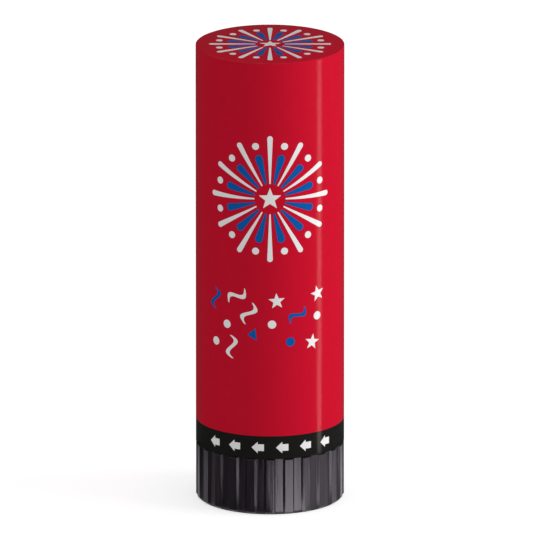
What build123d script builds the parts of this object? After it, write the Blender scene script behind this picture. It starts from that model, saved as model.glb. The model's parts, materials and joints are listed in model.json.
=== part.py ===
from build123d import *
import math
import os

# A twist-release confetti popper, standing on its grip.
# +Z is up, the origin is the centre of the foot, and the printed front faces -Y.
# Sizes are in millimetres and angles in degrees.

# Overall sizes
total_height = 110.0
body_diameter = 35.0

# Card tube, its printed label and the cover over its mouth
tube_wall = 1.5
label_thickness = 0.2
label_glue = 0.03
cover_thickness = 0.3
plug_thickness = 1.5
plug_clearance = 0.1
plug_chamfer = 0.4

# Twist base: ribbed grip
base_height = 13.5
base_gap = 0.2
base_inset = 0.1
base_wall = 1.6
base_floor = 2.0
rib_count = 24
rib_depth = 0.55
rib_crest_width = 1.9
rib_root_width = 2.6
rib_edge_radius = 0.14
grip_top_chamfer = 0.2
foot_chamfer = 0.6
foot_ring_width = 3.2
foot_recess_depth = 0.5

# Twist base: collar that turns on the seat's spigot, held by a snap bead
collar_wall = 1.8
collar_top_gap = 0.3
turning_clearance = 0.2
bead_depth = 0.5
bead_height = 1.2
bead_above_cam = 3.5
groove_clearance = 0.3
web_count = 6
web_thickness = 1.2
web_root = 0.5
web_drop = 4.0

# Twist stops: lugs under the seat run in notches in the collar
twist_angle = 90.0
lug_count = 2
first_lug_direction = 90.0
lug_angle = 14.0
lug_height = 1.7
lug_side_clearance = 0.2
stop_clearance_angle = 1.0
notch_floor_gap = 0.4

# Release: a split stem hooks under the seat, and an oval cam in the base squeezes its legs
cam_depth = 3.5
cam_end_clearance = 0.35
cam_squeeze_clearance = 0.2
stem_width = 8.0
stem_thickness = 3.0
stem_guide_clearance = 0.3
leg_gap = 3.8
leg_length = 20.0
barb_reach = 1.9
barb_height = 2.5
barb_land = 0.9
hook_clearance = 0.05
head_radius = 6.5
head_thickness = 1.2
head_clearance = 0.2

# Spring seat, glued into the foot of the tube
seat_height = 8.0
seat_wall = 1.5
seat_floor = 2.0
glue_gap = 0.05
spigot_wall = 2.0
spigot_gap = 0.3
hook_plate_thickness = 2.4
locator_height = 2.5
locator_wall = 2.9

# Main spring, shown compressed
wire_diameter = 1.3
spring_side_gap = 3.5
spring_locating_gap = 0.5
spring_compressed = 22.0
spring_turns = 9
spring_end_closing = 0.25
spring_ground_share = 0.25
arcs_per_turn = 8

# Push plate and wad
plate_thickness = 1.8
plate_clearance = 0.5
plate_boss_height = 2.5
skirt_height = 5.0
skirt_wall = 1.2
plate_edge_radius = 0.4
wad_thickness = 2.0
wad_clearance = 0.3

# Confetti: pads of tissue slips, four to a layer like the vanes of a pinwheel
slip_width = 8.4
pad_thickness = 2.2
least_pad_gap = 0.3
confetti_clearance = 0.8
layer_turn = 37.0
pads_per_layer = 4

# Radii and widths worked out from the sizes above
body_radius = body_diameter / 2
tube_radius = body_radius - label_thickness - label_glue
bore_radius = tube_radius - tube_wall
rib_radius = body_radius - base_inset
valley_radius = rib_radius - rib_depth
rib_foot_width = 2 * rib_root_width - rib_crest_width
rib_flank_angle = math.degrees(math.atan2(2 * rib_depth, rib_root_width - rib_crest_width))
base_inner_radius = valley_radius - base_wall
spring_radius = bore_radius - spring_side_gap - wire_diameter / 2
locator_radius = spring_radius - wire_diameter / 2 - spring_locating_gap
well_radius = locator_radius - locator_wall
spigot_radius = well_radius + spigot_wall
collar_bore = spigot_radius + turning_clearance
collar_radius = collar_bore + collar_wall
bead_radius = collar_bore - bead_depth
groove_radius = bead_radius - groove_clearance
seat_radius = bore_radius - glue_gap
plate_radius = bore_radius - plate_clearance
barb_half = stem_width / 2 + barb_reach
guide_length = stem_width + 2 * stem_guide_clearance
guide_width = stem_thickness + 2 * stem_guide_clearance
cam_short = guide_length / 2 - cam_squeeze_clearance
cam_long = (barb_half + cam_end_clearance) / math.sqrt(1 - (stem_thickness / 2 / cam_short) ** 2)
pinwheel_side = (bore_radius - confetti_clearance) * math.sqrt(2)
slip_length = pinwheel_side - slip_width - least_pad_gap

# Heights worked out from the sizes above
cam_top = base_floor + cam_depth
spigot_bottom = cam_top + spigot_gap
hook_plate_top = spigot_bottom + hook_plate_thickness
tube_bottom = base_height + base_gap
tube_top = total_height - cover_thickness
collar_top = base_height - collar_top_gap
bead_bottom = cam_top + bead_above_cam
bead_top = bead_bottom + bead_height
lug_bottom = tube_bottom - lug_height
notch_floor = lug_bottom - notch_floor_gap
spring_bottom = tube_bottom + seat_floor
spring_top = spring_bottom + spring_compressed
plate_top = spring_top + plate_thickness
wad_top = plate_top + wad_thickness
plug_bottom = tube_top - plug_thickness
barb_top = spigot_bottom - hook_clearance
barb_bottom = barb_top - barb_height
leg_slot_top = barb_bottom + leg_length

lug_directions = [first_lug_direction + 360 / lug_count * index for index in range(lug_count)]

os.makedirs("parts", exist_ok=True)


def upright_plane(direction):
    """Plane through the popper's axis, whose x runs outwards in a direction given in degrees."""
    angle = math.radians(direction)
    outwards = (math.cos(angle), math.sin(angle), 0)
    normal = (math.sin(angle), -math.cos(angle), 0)
    return Plane((0, 0, 0), x_dir=outwards, z_dir=normal)


# Card tube: the barrel
with BuildPart() as tube:
    with BuildSketch(Plane.XY.offset(tube_bottom)):
        Circle(tube_radius)
        Circle(bore_radius, mode=Mode.SUBTRACT)
    extrude(amount=tube_top - tube_bottom)

# Printed paper label round the tube
with BuildPart() as label_wrap:
    with BuildSketch(Plane.XY.offset(tube_bottom)):
        Circle(body_radius)
        Circle(body_radius - label_thickness, mode=Mode.SUBTRACT)
    extrude(amount=tube_top - tube_bottom)

# Printed paper disc that closes the mouth
with BuildPart() as top_label:
    with BuildSketch(Plane.XY.offset(tube_top)):
        Circle(body_radius)
    extrude(amount=cover_thickness)

# Board plug under the paper disc, which centres it in the mouth
with BuildPart() as muzzle_plug:
    with BuildSketch(Plane.XY.offset(plug_bottom)):
        Circle(bore_radius - plug_clearance)
    extrude(amount=plug_thickness)
    chamfer(muzzle_plug.faces().sort_by(Axis.Z)[0].edges(), length=plug_chamfer)

# Twist base: ribbed grip, collar and cam in one moulding
with BuildPart() as twist_base:
    with BuildSketch() as grip_outline:
        Circle(valley_radius)
        with PolarLocations(valley_radius - rib_depth, rib_count):
            Trapezoid(
                rib_foot_width,
                2 * rib_depth,
                rib_flank_angle,
                rotation=-90,
                align=(Align.CENTER, Align.MIN),
            )
        fillet(grip_outline.vertices(), radius=rib_edge_radius)
    extrude(amount=base_height)
    # bevels round the rim and the foot
    with BuildSketch(Plane.XZ):
        with BuildLine():
            Polyline(
                (rib_radius - grip_top_chamfer, base_height),
                (rib_radius + rib_depth, base_height - grip_top_chamfer - rib_depth),
                (rib_radius + rib_depth, base_height),
                close=True,
            )
        make_face()
        with BuildLine():
            Polyline(
                (rib_radius - foot_chamfer, 0),
                (rib_radius + rib_depth, 0),
                (rib_radius + rib_depth, foot_chamfer + rib_depth),
                close=True,
            )
        make_face()
    revolve(axis=Axis.Z, mode=Mode.SUBTRACT)
    # hollow of the cup, and the shallow recess inside the foot ring
    with BuildSketch(Plane.XY.offset(base_floor)):
        Circle(base_inner_radius)
    extrude(amount=base_height - base_floor, mode=Mode.SUBTRACT)
    with BuildSketch():
        Circle(valley_radius - foot_ring_width)
    extrude(amount=foot_recess_depth, mode=Mode.SUBTRACT)
    # collar, with the oval cam at its foot
    with BuildSketch(Plane.XY.offset(base_floor)):
        Circle(collar_radius)
        Circle(collar_bore, mode=Mode.SUBTRACT)
    extrude(amount=collar_top - base_floor)
    with BuildSketch(Plane.XY.offset(base_floor)):
        Circle(collar_bore)
        Ellipse(cam_long, cam_short, mode=Mode.SUBTRACT)
    extrude(amount=cam_depth)
    # snap bead inside the collar
    with BuildSketch(Plane.XZ):
        with BuildLine():
            Polyline(
                (collar_bore, bead_bottom),
                (bead_radius, bead_bottom + bead_depth / 2),
                (bead_radius, bead_top - bead_depth / 2),
                (collar_bore, bead_top),
                close=True,
            )
        make_face()
    revolve(axis=Axis.Z)
    # webs that tie the collar to the grip
    with BuildSketch(Plane.XY.offset(base_floor)):
        with PolarLocations((collar_radius + base_inner_radius) / 2, web_count):
            Rectangle(base_inner_radius - collar_radius + 2 * web_root, web_thickness)
    extrude(amount=collar_top - web_drop - base_floor)
    # notches in the rim of the collar, in which the stop lugs run
    for direction in lug_directions:
        notch_start = direction - lug_angle / 2 - stop_clearance_angle
        with BuildSketch(upright_plane(notch_start)):
            with Locations(((collar_bore + collar_radius) / 2, (notch_floor + base_height) / 2)):
                Rectangle(collar_wall + 2 * turning_clearance, base_height - notch_floor)
        revolve(
            axis=Axis.Z,
            revolution_arc=twist_angle + lug_angle + 2 * stop_clearance_angle,
            mode=Mode.SUBTRACT,
        )

# Spring seat: a top-hat moulding with the spring on its brim and the spigot below
with BuildPart() as spring_seat:
    with BuildSketch(Plane.XZ):
        with BuildLine():
            Polyline(
                (0, spigot_bottom),
                (spigot_radius, spigot_bottom),
                (spigot_radius, bead_bottom - groove_clearance),
                (groove_radius, bead_bottom - groove_clearance),
                (groove_radius, bead_top + groove_clearance),
                (spigot_radius, bead_top + groove_clearance),
                (spigot_radius, tube_bottom),
                (seat_radius, tube_bottom),
                (seat_radius, tube_bottom + seat_height),
                (seat_radius - seat_wall, tube_bottom + seat_height),
                (seat_radius - seat_wall, spring_bottom),
                (locator_radius, spring_bottom),
                (locator_radius, spring_bottom + locator_height),
                (well_radius, spring_bottom + locator_height),
                (well_radius, hook_plate_top),
                (0, hook_plate_top),
                close=True,
            )
        make_face()
    revolve(axis=Axis.Z)
    # slot in the hook plate, through which the stem's legs pass
    with BuildSketch(Plane.XY.offset(spigot_bottom)):
        Rectangle(guide_length, guide_width)
    extrude(amount=hook_plate_thickness, mode=Mode.SUBTRACT)
    # stop lugs under the brim
    for direction in lug_directions:
        with BuildSketch(upright_plane(direction - lug_angle / 2)):
            with Locations(((collar_bore + collar_radius) / 2, tube_bottom - lug_height / 2)):
                Rectangle(collar_wall - 2 * lug_side_clearance, lug_height)
        revolve(axis=Axis.Z, revolution_arc=lug_angle)

# Push plate: drives the wad, with a boss inside the spring and a skirt that guides it in the bore
with BuildPart() as push_plate:
    with BuildSketch(Plane.XY.offset(spring_top)):
        Circle(plate_radius)
    extrude(amount=plate_thickness)
    fillet(push_plate.faces().sort_by(Axis.Z)[-1].edges(), radius=plate_edge_radius)
    with BuildSketch(Plane.XY.offset(spring_top)):
        Circle(plate_radius)
        Circle(plate_radius - skirt_wall, mode=Mode.SUBTRACT)
    extrude(amount=-skirt_height)
    with BuildSketch(Plane.XY.offset(spring_top)):
        Circle(locator_radius)
    extrude(amount=-plate_boss_height)
    # seat for the stem's head, and the slot for its blade
    with BuildSketch(Plane.XY.offset(plate_top)):
        Circle(head_radius + head_clearance)
    extrude(amount=-head_thickness, mode=Mode.SUBTRACT)
    with BuildSketch(Plane.XY.offset(plate_top)):
        Rectangle(guide_length, guide_width)
    extrude(amount=-(plate_thickness + plate_boss_height), mode=Mode.SUBTRACT)

# Release stem: round head, flat blade split into two legs, and a hook on each leg
with BuildPart() as release_stem:
    with BuildSketch(Plane.XZ) as stem_outline:
        with BuildLine():
            Polyline(
                (0, barb_bottom),
                (stem_width / 2, barb_bottom),
                (barb_half, barb_top - barb_land),
                (barb_half, barb_top),
                (stem_width / 2, barb_top),
                (stem_width / 2, plate_top),
                (0, plate_top),
                close=True,
            )
        make_face()
        mirror(about=Plane.YZ)
        with Locations((0, (barb_bottom + leg_slot_top) / 2)):
            Rectangle(leg_gap, leg_length, mode=Mode.SUBTRACT)
        with Locations((0, leg_slot_top)):
            Circle(leg_gap / 2, mode=Mode.SUBTRACT)
    extrude(amount=stem_thickness / 2, both=True)
    with BuildSketch(Plane.XY.offset(plate_top)):
        Circle(head_radius)
    extrude(amount=-head_thickness)

# Greyboard wad between the plate and the confetti
with BuildPart() as wad_disc:
    with BuildSketch(Plane.XY.offset(plate_top)):
        Circle(bore_radius - wad_clearance)
    extrude(amount=wad_thickness)

# Main spring: one wire whose pitch closes up towards its ground ends
ground_depth = wire_diameter * spring_ground_share
coil_rise = spring_compressed - 2 * ground_depth


def coil_point(turn):
    """Centre of the wire after a number of turns."""
    phase = 2 * math.pi * turn / spring_turns
    share = turn / spring_turns - spring_end_closing * math.sin(phase) / (2 * math.pi)
    angle = 2 * math.pi * turn
    return Vector(
        spring_radius * math.cos(angle),
        spring_radius * math.sin(angle),
        spring_bottom + ground_depth + coil_rise * share,
    )


def coil_direction(turn):
    """Direction of the wire after a number of turns."""
    phase = 2 * math.pi * turn / spring_turns
    pitch = coil_rise / spring_turns * (1 - spring_end_closing * math.cos(phase))
    angle = 2 * math.pi * turn
    circumference = 2 * math.pi * spring_radius
    return Vector(-math.sin(angle) * circumference, math.cos(angle) * circumference, pitch).normalized()


def biarc_joint(start, start_direction, end, end_direction):
    """Point where two arcs meet that leave start and reach end in the given directions."""
    chord = end - start
    both = start_direction + end_direction
    square = 2 * (1 - start_direction.dot(end_direction))
    slope = chord.dot(both)
    reach = (math.sqrt(slope**2 + square * chord.dot(chord)) - slope) / square
    return (start + end + (start_direction - end_direction) * reach) / 2


with BuildPart() as main_spring:
    with BuildLine() as wire_path:
        for step in range(spring_turns * arcs_per_turn // 2):
            start_turn = 2 * step / arcs_per_turn
            end_turn = 2 * (step + 1) / arcs_per_turn
            start = coil_point(start_turn)
            end = coil_point(end_turn)
            joint = biarc_joint(start, coil_direction(start_turn), end, coil_direction(end_turn))
            first = TangentArc(start, joint, tangent=coil_direction(start_turn))
            TangentArc(joint, end, tangent=first % 1)
    with BuildSketch(Plane(origin=coil_point(0), z_dir=coil_direction(0))):
        Circle(wire_diameter / 2)
    sweep(path=wire_path.line)
    # ends ground flat
    split(bisect_by=Plane.XY.offset(spring_bottom), keep=Keep.TOP)
    split(bisect_by=Plane.XY.offset(spring_top), keep=Keep.BOTTOM)

points_per_turn = 48
coil_points = [coil_point(index / points_per_turn) for index in range(spring_turns * points_per_turn + 1)]
least_coil_gap = min(
    (coil_points[far] - coil_points[near]).length - wire_diameter
    for near in range(len(coil_points))
    for far in range(near + points_per_turn // 2, len(coil_points))
)
print(f"main_spring: least gap between turns {least_coil_gap:.3f} mm")

# Confetti: layers of pads fill the barrel from the wad to the plug, red and white by turns
chamber_height = plug_bottom - wad_top
layer_count = int(chamber_height / (pad_thickness + least_pad_gap))
layer_gap = (chamber_height - layer_count * pad_thickness) / (layer_count + 1)
red_pads = []
white_pads = []
for layer in range(layer_count):
    layer_middle = wad_top + layer_gap + pad_thickness / 2 + layer * (pad_thickness + layer_gap)
    for pad in range(pads_per_layer):
        turn = layer * layer_turn + pad * 360 / pads_per_layer
        offset = Vector(-(slip_width + least_pad_gap) / 2, (slip_length + least_pad_gap) / 2)
        centre = offset.rotate(Axis.Z, turn) + Vector(0, 0, layer_middle)
        pads = red_pads if (layer + pad) % 2 else white_pads
        pads.append(Location(centre, (0, 0, turn)))

with BuildPart() as confetti_red:
    with Locations(*red_pads):
        Box(slip_length, slip_width, pad_thickness)

with BuildPart() as confetti_white:
    with Locations(*white_pads):
        Box(slip_length, slip_width, pad_thickness)

pieces = {
    "tube": tube,
    "label_wrap": label_wrap,
    "top_label": top_label,
    "muzzle_plug": muzzle_plug,
    "twist_base": twist_base,
    "spring_seat": spring_seat,
    "push_plate": push_plate,
    "release_stem": release_stem,
    "wad_disc": wad_disc,
    "main_spring": main_spring,
    "confetti_red": confetti_red,
    "confetti_white": confetti_white,
}
for name, piece in pieces.items():
    piece.part.label = name
    export_step(piece.part, f"parts/{name}.step")
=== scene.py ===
"""Looks of a twist-release confetti popper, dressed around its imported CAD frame.

Sizes in the classes are millimetres and angles are degrees; MM turns a size into the scene's metres.
+Z runs up the barrel, and the printed front faces -Y.
"""

import json
import logging
import math
from dataclasses import dataclass
from enum import Enum

import bmesh
import bpy
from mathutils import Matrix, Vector
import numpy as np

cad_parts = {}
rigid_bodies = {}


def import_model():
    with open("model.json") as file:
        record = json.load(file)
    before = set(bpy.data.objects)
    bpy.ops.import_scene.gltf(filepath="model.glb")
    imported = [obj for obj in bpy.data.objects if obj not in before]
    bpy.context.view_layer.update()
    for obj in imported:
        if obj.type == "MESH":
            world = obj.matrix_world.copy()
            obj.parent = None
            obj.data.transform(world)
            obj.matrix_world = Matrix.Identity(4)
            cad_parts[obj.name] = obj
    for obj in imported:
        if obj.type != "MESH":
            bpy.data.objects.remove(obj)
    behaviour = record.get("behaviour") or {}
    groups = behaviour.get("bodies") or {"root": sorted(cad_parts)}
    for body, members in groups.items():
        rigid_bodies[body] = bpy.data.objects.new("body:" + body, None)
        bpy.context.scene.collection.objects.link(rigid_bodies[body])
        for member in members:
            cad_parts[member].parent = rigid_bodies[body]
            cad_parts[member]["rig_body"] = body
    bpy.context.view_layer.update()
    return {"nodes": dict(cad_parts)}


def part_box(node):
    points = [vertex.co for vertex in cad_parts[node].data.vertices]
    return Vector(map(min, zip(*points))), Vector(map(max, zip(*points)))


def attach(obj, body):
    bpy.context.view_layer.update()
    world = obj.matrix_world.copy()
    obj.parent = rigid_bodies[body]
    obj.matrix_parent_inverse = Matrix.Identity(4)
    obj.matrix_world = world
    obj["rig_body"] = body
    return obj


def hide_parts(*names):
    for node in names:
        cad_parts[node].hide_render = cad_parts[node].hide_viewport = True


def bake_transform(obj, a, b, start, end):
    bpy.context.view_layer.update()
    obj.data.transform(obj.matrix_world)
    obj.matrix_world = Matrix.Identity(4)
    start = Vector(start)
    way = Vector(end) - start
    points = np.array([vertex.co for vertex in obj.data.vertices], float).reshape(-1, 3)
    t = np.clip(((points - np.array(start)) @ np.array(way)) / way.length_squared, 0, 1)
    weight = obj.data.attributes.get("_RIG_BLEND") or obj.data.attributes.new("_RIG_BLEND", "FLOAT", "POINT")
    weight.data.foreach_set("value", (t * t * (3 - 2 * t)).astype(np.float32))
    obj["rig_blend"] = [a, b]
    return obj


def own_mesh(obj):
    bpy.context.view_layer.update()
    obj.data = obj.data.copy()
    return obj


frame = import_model()

MM = 0.001
WELD = 0.001 * MM
FULL_TURN = 2 * math.pi
LOG = logging.getLogger("confetti_popper")

# Nearly all of Blender's noise lies between these two values
NOISE_SPAN = (0.3, 0.7)
NOISE_DETAIL = 4.0
# Blender's wave texture runs on by this many radians for each unit of its scaled coordinates
WAVE_RATE = 20
# An edge where a piece turns by more than this stays sharp
SHARP_ANGLE = 35.0
# Printed shapes are cut into cells of this size, so that they bend with the label
PRINT_CELL = 1.0
# The paper's skin stands this far inside its CAD piece, which leaves room for the ink
INK_ROOM = 0.06
# The ink's underside lies this far inside the skin, so that no gap shows
INK_SINK = 0.02

Span = tuple[float, float]
Outline = list[tuple[float, float]]
Ring = list[bmesh.types.BMVert]
Inputs = dict[str | int, object]
Surface = tuple[bpy.types.Node, Inputs]


def linear(hex_colour: str) -> tuple[float, float, float, float]:
    """Turn an sRGB colour into the linear one that Blender's sockets take.

    Args:
        hex_colour: a colour such as "#D6112F".

    Returns:
        Red, green, blue and an alpha of one.
    """
    shares = [int(hex_colour[start : start + 2], 16) / 255 for start in (1, 3, 5)]
    # the curve of the sRGB standard, which starts straight
    red, green, blue = (s / 12.92 if s <= 0.04045 else ((s + 0.055) / 1.055) ** 2.4 for s in shares)
    return red, green, blue, 1.0


def add_node(
    tree: bpy.types.NodeTree, kind: str, inputs: Inputs | None = None, **settings: object
) -> bpy.types.Node:
    """Add a node to a tree with its settings and links.

    Args:
        tree: the tree that the node joins.
        kind: Blender's name for the kind of node.
        inputs: for each input, by name or number, its value, or the socket that feeds it, or a node, which
            feeds it from its first output, or a list of these where it takes several.
        settings: the node's own properties.

    Returns:
        The new node.
    """
    node = tree.nodes.new(kind)
    for key, value in settings.items():
        setattr(node, key, value)
    for key, value in (inputs or {}).items():
        for feed in value if isinstance(value, list) else [value]:
            if isinstance(feed, bpy.types.Node):
                feed = feed.outputs[0]
            if isinstance(feed, bpy.types.NodeSocket):
                tree.links.new(feed, node.inputs[key])
            else:
                node.inputs[key].default_value = feed
    return node


def new_material(name: str) -> bpy.types.Material:
    """Make a material with an empty node tree.

    Args:
        name: the material's name.

    Returns:
        The new material.
    """
    material = bpy.data.materials.new(name)
    material.use_nodes = True
    material.node_tree.nodes.clear()
    return material


@dataclass(frozen=True)
class Finish:
    """A surface finish: its name, its colour and the material that it makes on first use."""

    name: str
    colour: str

    def material(self) -> bpy.types.Material:
        """Find the finish's material, or make it where there is none yet.

        Returns:
            The material.
        """
        found = bpy.data.materials.get(self.name)
        if found is None:
            found = new_material(self.name)
            tree = found.node_tree
            shade, inputs = self.surface(tree)
            shaded = {"Value": shade, "Color": linear(self.colour)}
            colour = add_node(tree, "ShaderNodeHueSaturation", shaded)
            skin = add_node(tree, "ShaderNodeBsdfPrincipled", {"Base Color": colour, **inputs})
            add_node(tree, "ShaderNodeOutputMaterial", {"Surface": skin})
        return found

    def surface(self, tree: bpy.types.NodeTree) -> Surface:
        """Add the finish's patterns to a tree and return its shade and the shader's other inputs."""
        raise NotImplementedError

    def blotches(
        self, tree: bpy.types.NodeTree, size: float, span: Span, rise: float = 1.0
    ) -> bpy.types.Node:
        """Add a soft random pattern that is fixed to the piece.

        Args:
            tree: the material's tree.
            size: how large its blotches are, in millimetres.
            span: the pattern's lowest and highest value.
            rise: how many times longer the blotches are up the piece than across it.

        Returns:
            The node that gives the pattern.
        """
        across = 1 / (size * MM)
        place = add_node(
            tree,
            "ShaderNodeMapping",
            {
                "Vector": add_node(tree, "ShaderNodeTexCoord").outputs["Object"],
                "Scale": (across, across, across / rise),
            },
        )
        pattern = {"Vector": place, "Scale": 1.0, "Detail": NOISE_DETAIL}
        noise = add_node(tree, "ShaderNodeTexNoise", pattern)
        ends = dict(zip(("From Min", "From Max", "To Min", "To Max"), (*NOISE_SPAN, *span)))
        return add_node(tree, "ShaderNodeMapRange", {"Value": noise, **ends})

    def relief(
        self,
        tree: bpy.types.NodeTree,
        size: float,
        depth: float,
        rise: float = 1.0,
        under: bpy.types.Node | None = None,
    ) -> bpy.types.Node:
        """Add soft random bumps that are fixed to the piece.

        Args:
            tree: the material's tree.
            size: how large the bumps are, in millimetres.
            depth: how deep they are, in millimetres.
            rise: how many times longer they are up the piece than across it.
            under: the relief that they lie on, if any.

        Returns:
            The node that gives the surface's direction.
        """
        bumps = {"Height": self.blotches(tree, size, (0.0, 1.0), rise), "Distance": depth * MM}
        if under is not None:
            bumps["Normal"] = under
        return add_node(tree, "ShaderNodeBump", bumps)


@dataclass(frozen=True)
class LaminatedPrint(Finish):
    """Coated art paper, offset printed and laminated with clear film.

    It gives the eye an even, saturated ink with a faint mottle, under a thin clear gloss. The orange peel
    of the film is really about 0.2 mm across and is drawn coarser, so that it shows.
    """

    mottle_size: float = 2.5
    mottle: float = 0.015
    peel_size: float = 0.7
    peel_depth: float = 0.0003
    roughness: Span = (0.12, 0.16)
    ior: float = 1.5
    specular_level: float = 0.15

    def surface(self, tree: bpy.types.NodeTree) -> Surface:
        """Add ink mottle, film gloss and orange peel.

        Args:
            tree: the material's tree.

        Returns:
            How much lighter or darker the colour is, and what the shader's other inputs take.
        """
        mottle = self.blotches(tree, self.mottle_size, (1 - self.mottle, 1 + self.mottle))
        return mottle, {
            "Roughness": self.blotches(tree, self.peel_size, self.roughness),
            "Normal": self.relief(tree, self.peel_size, self.peel_depth),
            "IOR": self.ior,
            "Specular IOR Level": self.specular_level,
        }


@dataclass(frozen=True)
class MouldedPlastic(Finish):
    """Polypropylene or acetal, injection moulded in a spark-eroded tool.

    It gives the eye a satin skin with a fine grain, and faint upright marks where the piece was drawn out
    of the tool. The grain is really about 0.05 mm across and is drawn coarser, so that it shows.
    """

    shade: float = 0.05
    grain_size: float = 0.28
    grain_depth: float = 0.0016
    draw_width: float = 0.8
    draw_rise: float = 12.0
    draw_depth: float = 0.01
    roughness: Span = (0.26, 0.42)
    ior: float = 1.49

    def surface(self, tree: bpy.types.NodeTree) -> Surface:
        """Add the moulded grain and the draw marks.

        Args:
            tree: the material's tree.

        Returns:
            How much lighter or darker the colour is, and what the shader's other inputs take.
        """
        drawn = self.relief(tree, self.draw_width, self.draw_depth, self.draw_rise)
        uneven = self.blotches(tree, self.draw_width, (1 - self.shade, 1 + self.shade), self.draw_rise)
        return uneven, {
            "Roughness": self.blotches(tree, self.draw_width, self.roughness, self.draw_rise),
            "Normal": self.relief(tree, self.grain_size, self.grain_depth, under=drawn),
            "IOR": self.ior,
        }


@dataclass(frozen=True)
class WoundCard(Finish):
    """Card tube, wound in a spiral from strips of kraft paper.

    It gives the eye soft brown fibres, plies that ring its cut end, and a darker line that climbs the bore
    where one strip meets the next.
    """

    fibre_size: float = 0.5
    fibre_shades: Span = (0.86, 1.12)
    fuzz_depth: float = 0.013
    ply: float = 0.3
    ply_shade: float = 0.06
    ply_waver: float = 0.4
    winding_pitch: float = 42.0
    joint_width: float = 0.5
    joint_shade: float = -0.3
    roughness: float = 0.85

    def surface(self, tree: bpy.types.NodeTree) -> Surface:
        """Add the fibres, the plies and the climbing joint.

        Args:
            tree: the material's tree.

        Returns:
            How much lighter or darker the colour is, and what the shader's other inputs take.
        """
        place = add_node(tree, "ShaderNodeTexCoord").outputs["Object"]
        x, y, z = add_node(tree, "ShaderNodeSeparateXYZ", {0: place}).outputs
        angle = add_node(tree, "ShaderNodeMath", {0: y, 1: x}, operation="ARCTAN2")
        turns = add_node(tree, "ShaderNodeMath", {0: angle, 1: FULL_TURN}, operation="DIVIDE")
        windings = 1 / (self.winding_pitch * MM)
        climb = add_node(tree, "ShaderNodeMath", {0: z, 1: windings, 2: turns}, operation="MULTIPLY_ADD")
        along = add_node(tree, "ShaderNodeMath", {0: climb}, operation="FRACT")
        joint_share = self.joint_width / self.winding_pitch
        joint = add_node(tree, "ShaderNodeMath", {0: along, 1: joint_share}, operation="LESS_THAN")
        ply_scale = FULL_TURN / WAVE_RATE / (self.ply * MM)
        plies = add_node(
            tree,
            "ShaderNodeTexWave",
            {"Vector": place, "Scale": ply_scale, "Distortion": self.ply_waver},
            wave_type="RINGS",
            rings_direction="Z",
        )
        shade = self.blotches(tree, self.fibre_size, self.fibre_shades)
        for mark, change in ((plies.outputs["Fac"], self.ply_shade), (joint, self.joint_shade)):
            changed = {0: mark, 1: change, 2: shade}
            shade = add_node(tree, "ShaderNodeMath", changed, operation="MULTIPLY_ADD")
        return shade, {
            "Roughness": self.roughness,
            "Normal": self.relief(tree, self.fibre_size, self.fuzz_depth),
        }


@dataclass(frozen=True)
class Greyboard(Finish):
    """Board pressed from recycled paper: matt grey, felted, and flecked with darker fibres."""

    fleck_size: float = 0.45
    fleck_shades: Span = (0.85, 1.08)
    felt_size: float = 1.6
    felt_shades: Span = (0.85, 1.15)
    felt_depth: float = 0.014
    roughness: float = 0.9

    def surface(self, tree: bpy.types.NodeTree) -> Surface:
        """Add the flecks and the felted face.

        Args:
            tree: the material's tree.

        Returns:
            How much lighter or darker the colour is, and what the shader's other inputs take.
        """
        place = add_node(tree, "ShaderNodeTexCoord").outputs["Object"]
        fleck_scale = 1 / (self.fleck_size * MM)
        flecks = add_node(tree, "ShaderNodeTexVoronoi", {"Vector": place, "Scale": fleck_scale})
        shades = dict(zip(("To Min", "To Max"), self.fleck_shades))
        speckle = add_node(tree, "ShaderNodeMapRange", {"Value": flecks.outputs["Distance"], **shades})
        felt = self.blotches(tree, self.felt_size, self.felt_shades)
        shade = add_node(tree, "ShaderNodeMath", {0: speckle, 1: felt}, operation="MULTIPLY")
        return shade, {
            "Roughness": self.roughness,
            "Normal": self.relief(tree, self.felt_size, self.felt_depth),
        }


@dataclass(frozen=True)
class SoftPaper(Finish):
    """Uncoated paper or tissue: thin, matt and softly crinkled, with uneven dye."""

    crinkle_size: float = 1.4
    crinkle_depth: float = 0.028
    dye_shades: Span = (0.88, 1.1)
    roughness: float = 0.8

    def surface(self, tree: bpy.types.NodeTree) -> Surface:
        """Add the uneven dye and the crinkles.

        Args:
            tree: the material's tree.

        Returns:
            How much lighter or darker the colour is, and what the shader's other inputs take.
        """
        dye = self.blotches(tree, self.crinkle_size, self.dye_shades)
        return dye, {
            "Roughness": self.roughness,
            "Normal": self.relief(tree, self.crinkle_size, self.crinkle_depth),
        }


@dataclass(frozen=True)
class PlatedWire(Finish):
    """Drawn spring steel, zinc plated: bright grey, with a plating that is a little uneven."""

    plating_size: float = 0.5
    plating_shades: Span = (0.9, 1.05)
    roughness: Span = (0.25, 0.4)

    def surface(self, tree: bpy.types.NodeTree) -> Surface:
        """Add the uneven plating.

        Args:
            tree: the material's tree.

        Returns:
            How much lighter or darker the colour is, and what the shader's other inputs take.
        """
        plating = self.blotches(tree, self.plating_size, self.plating_shades)
        return plating, {
            "Roughness": self.blotches(tree, self.plating_size, self.roughness),
            "Metallic": 1.0,
        }


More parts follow.
